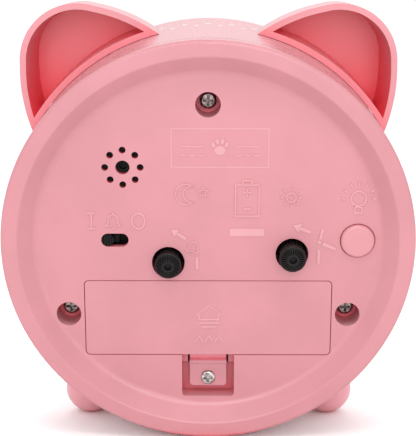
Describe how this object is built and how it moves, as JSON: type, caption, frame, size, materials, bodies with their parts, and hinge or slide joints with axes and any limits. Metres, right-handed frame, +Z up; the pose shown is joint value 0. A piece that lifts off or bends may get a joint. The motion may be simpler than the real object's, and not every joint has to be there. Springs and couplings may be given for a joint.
{
  "type": "alarm clock",
  "caption": "Round quartz alarm clock with cat ears, leaning on two stub feet, with setting knobs, alarm slider, light button and battery bay at the back.",
  "frame": {"origin": "centre of the bounding box's footprint, on the tabletop", "axes": "+Z up; -Y is the way the dial looks, +Y the back with the controls; +X to the right for a person facing the dial; the clock leans back 9 degrees about X"},
  "size_m": [0.12, 0.071, 0.131],
  "materials": {
    "pink_shell": "satin moulded",
    "pink_panel": "fine spark-eroded",
    "pink_ear": "satin moulded",
    "clear_lens": "polished",
    "dial_print": "printed",
    "white_ring": "satin",
    "black_knob": "moulded",
    "black_part": "moulded",
    "screw_nickel": "nickel plated",
    "bright_screw": "bright",
    "cell_wrap": "printed wrap",
    "spring_steel": "plated",
    "white_plastic": "acetal",
    "gear_plastic": "acetal",
    "copper_coil": "enamelled wire",
    "stator_steel": "stamped",
    "magnet": "sintered",
    "brass_leaf": "stamped",
    "circuit_green": "solder mask",
    "lamp_clear": "clear",
    "hand_black": "painted",
    "hand_red": "painted"
  },
  "bodies": {
    "case": {"case_drum": "pink_shell", "rear_cover": "pink_panel", "case_screws": "screw_nickel", "front_bezel": "pink_shell", "lens": "clear_lens", "dial": "dial_print", "dial_ring": "white_ring", "ear_left": "pink_ear", "ear_right": "pink_ear", "foot_left": "pink_shell", "foot_right": "pink_shell", "foot_screws": "screw_nickel", "battery": "cell_wrap", "battery_spring": "spring_steel", "battery_plus_contact": "spring_steel", "buzzer": "black_part", "buzzer_clip": "white_plastic", "alarm_switch_body": "black_part", "light_switch": "black_part", "light_board": "circuit_green", "light_board_screws": "screw_nickel", "dial_lamps": "lamp_clear", "movement_back_plate": "white_plastic", "movement_middle_plate": "white_plastic", "movement_front_plate": "white_plastic", "movement_screws": "screw_nickel", "motor_stator": "stator_steel", "motor_coil": "copper_coil", "alarm_contact": "brass_leaf", "circuit_board": "circuit_green", "circuit_board_parts": "black_part"},
    "seconds": {"second_wheel": "gear_plastic", "second_hand": "hand_red"},
    "rotor": {"motor_rotor": "magnet"},
    "idler": {"idler_wheel": "gear_plastic"},
    "third": {"third_wheel": "gear_plastic"},
    "driven_minute": {"minute_wheel": "gear_plastic"},
    "minute": {"minute_arbor": "gear_plastic", "minute_hand": "hand_black"},
    "motion": {"motion_wheel": "gear_plastic"},
    "hour": {"hour_wheel": "gear_plastic", "hour_hand": "hand_black"},
    "time_knob": {"time_knob": "black_knob", "time_setting_shaft": "gear_plastic"},
    "alarm_dial": {"alarm_wheel": "gear_plastic", "alarm_hand": "hand_red"},
    "alarm_knob": {"alarm_knob": "black_knob", "alarm_setting_shaft": "gear_plastic"},
    "alarm_switch": {"alarm_switch_slider": "black_part"},
    "light_button": {"light_button": "pink_panel", "light_switch_plunger": "white_plastic"},
    "battery_door": {"battery_door": "pink_panel", "battery_door_screw": "bright_screw"}
  },
  "joints": [
    {"name": "seconds_spin", "type": "hinge", "parent": "case", "child": "seconds", "pos_m": [0, -0.00533, 0.06409], "axis": [0, 0.9877, -0.1564], "continuous": true},
    {"name": "idler_spin", "type": "hinge", "parent": "case", "child": "idler", "pos_m": [0.00888, -0.00468, 0.06818], "axis": [0, 0.9877, -0.1564], "continuous": true},
    {"name": "rotor_spin", "type": "hinge", "parent": "case", "child": "rotor", "pos_m": [0.0098, -0.00386, 0.07334], "axis": [0, 0.9877, -0.1564], "continuous": true},
    {"name": "third_wheel_spin", "type": "hinge", "parent": "case", "child": "third", "pos_m": [-0.00328, -0.00392, 0.073], "axis": [0, 0.9877, -0.1564], "continuous": true},
    {"name": "minute_wheel_spin", "type": "hinge", "parent": "case", "child": "driven_minute", "pos_m": [0, -0.00533, 0.06409], "axis": [0, 0.9877, -0.1564], "continuous": true},
    {"name": "time_setting", "type": "hinge", "parent": "case", "child": "time_knob", "pos_m": [-0.0245, 0.01196, 0.05822], "axis": [0, 0.9877, -0.1564], "continuous": true},
    {"name": "motion_wheel_turn", "type": "hinge", "parent": "case", "child": "motion", "pos_m": [-0.01225, -0.00557, 0.06256], "axis": [0, 0.9877, -0.1564], "continuous": true},
    {"name": "minute_hand_turn", "type": "hinge", "parent": "case", "child": "minute", "pos_m": [0, -0.00533, 0.06409], "axis": [0, 0.9877, -0.1564], "continuous": true},
    {"name": "hour_hand_turn", "type": "hinge", "parent": "case", "child": "hour", "pos_m": [0, -0.00533, 0.06409], "axis": [0, 0.9877, -0.1564], "continuous": true},
    {"name": "alarm_setting", "type": "hinge", "parent": "case", "child": "alarm_knob", "pos_m": [0.0116, 0.01156, 0.05565], "axis": [0, 0.9877, -0.1564], "continuous": true},
    {"name": "alarm_hand_turn", "type": "hinge", "parent": "case", "child": "alarm_dial", "pos_m": [0, -0.00533, 0.06409], "axis": [0, 0.9877, -0.1564], "continuous": true},
    {"name": "alarm_switch_slide", "type": "slide", "parent": "case", "child": "alarm_switch", "axis": [-1, 0, 0], "range_m": [0, 0.0042]},
    {"name": "light_button_press", "type": "slide", "parent": "case", "child": "light_button", "axis": [0, -0.9877, 0.1564], "range_m": [0, 0.0008], "stiffness_N_per_m": 1200},
    {"name": "battery_door_swing", "type": "hinge", "parent": "case", "child": "battery_door", "pos_m": [0, 0.02054, 0.0484], "axis": [1, 0, 0], "range_deg": [0, 70]}
  ],
  "couplings": [
    {"joint": "idler_spin", "follows": "seconds_spin", "ratio": -6},
    {"joint": "rotor_spin", "follows": "seconds_spin", "ratio": 30},
    {"joint": "third_wheel_spin", "follows": "seconds_spin", "ratio": -0.125},
    {"joint": "minute_wheel_spin", "follows": "seconds_spin", "ratio": 0.016667},
    {"joint": "motion_wheel_turn", "follows": "time_setting", "ratio": -0.33333},
    {"joint": "minute_hand_turn", "follows": "time_setting", "ratio": 1},
    {"joint": "hour_hand_turn", "follows": "time_setting", "ratio": 0.083333},
    {"joint": "alarm_hand_turn", "follows": "alarm_setting", "ratio": -0.33333}
  ]
}
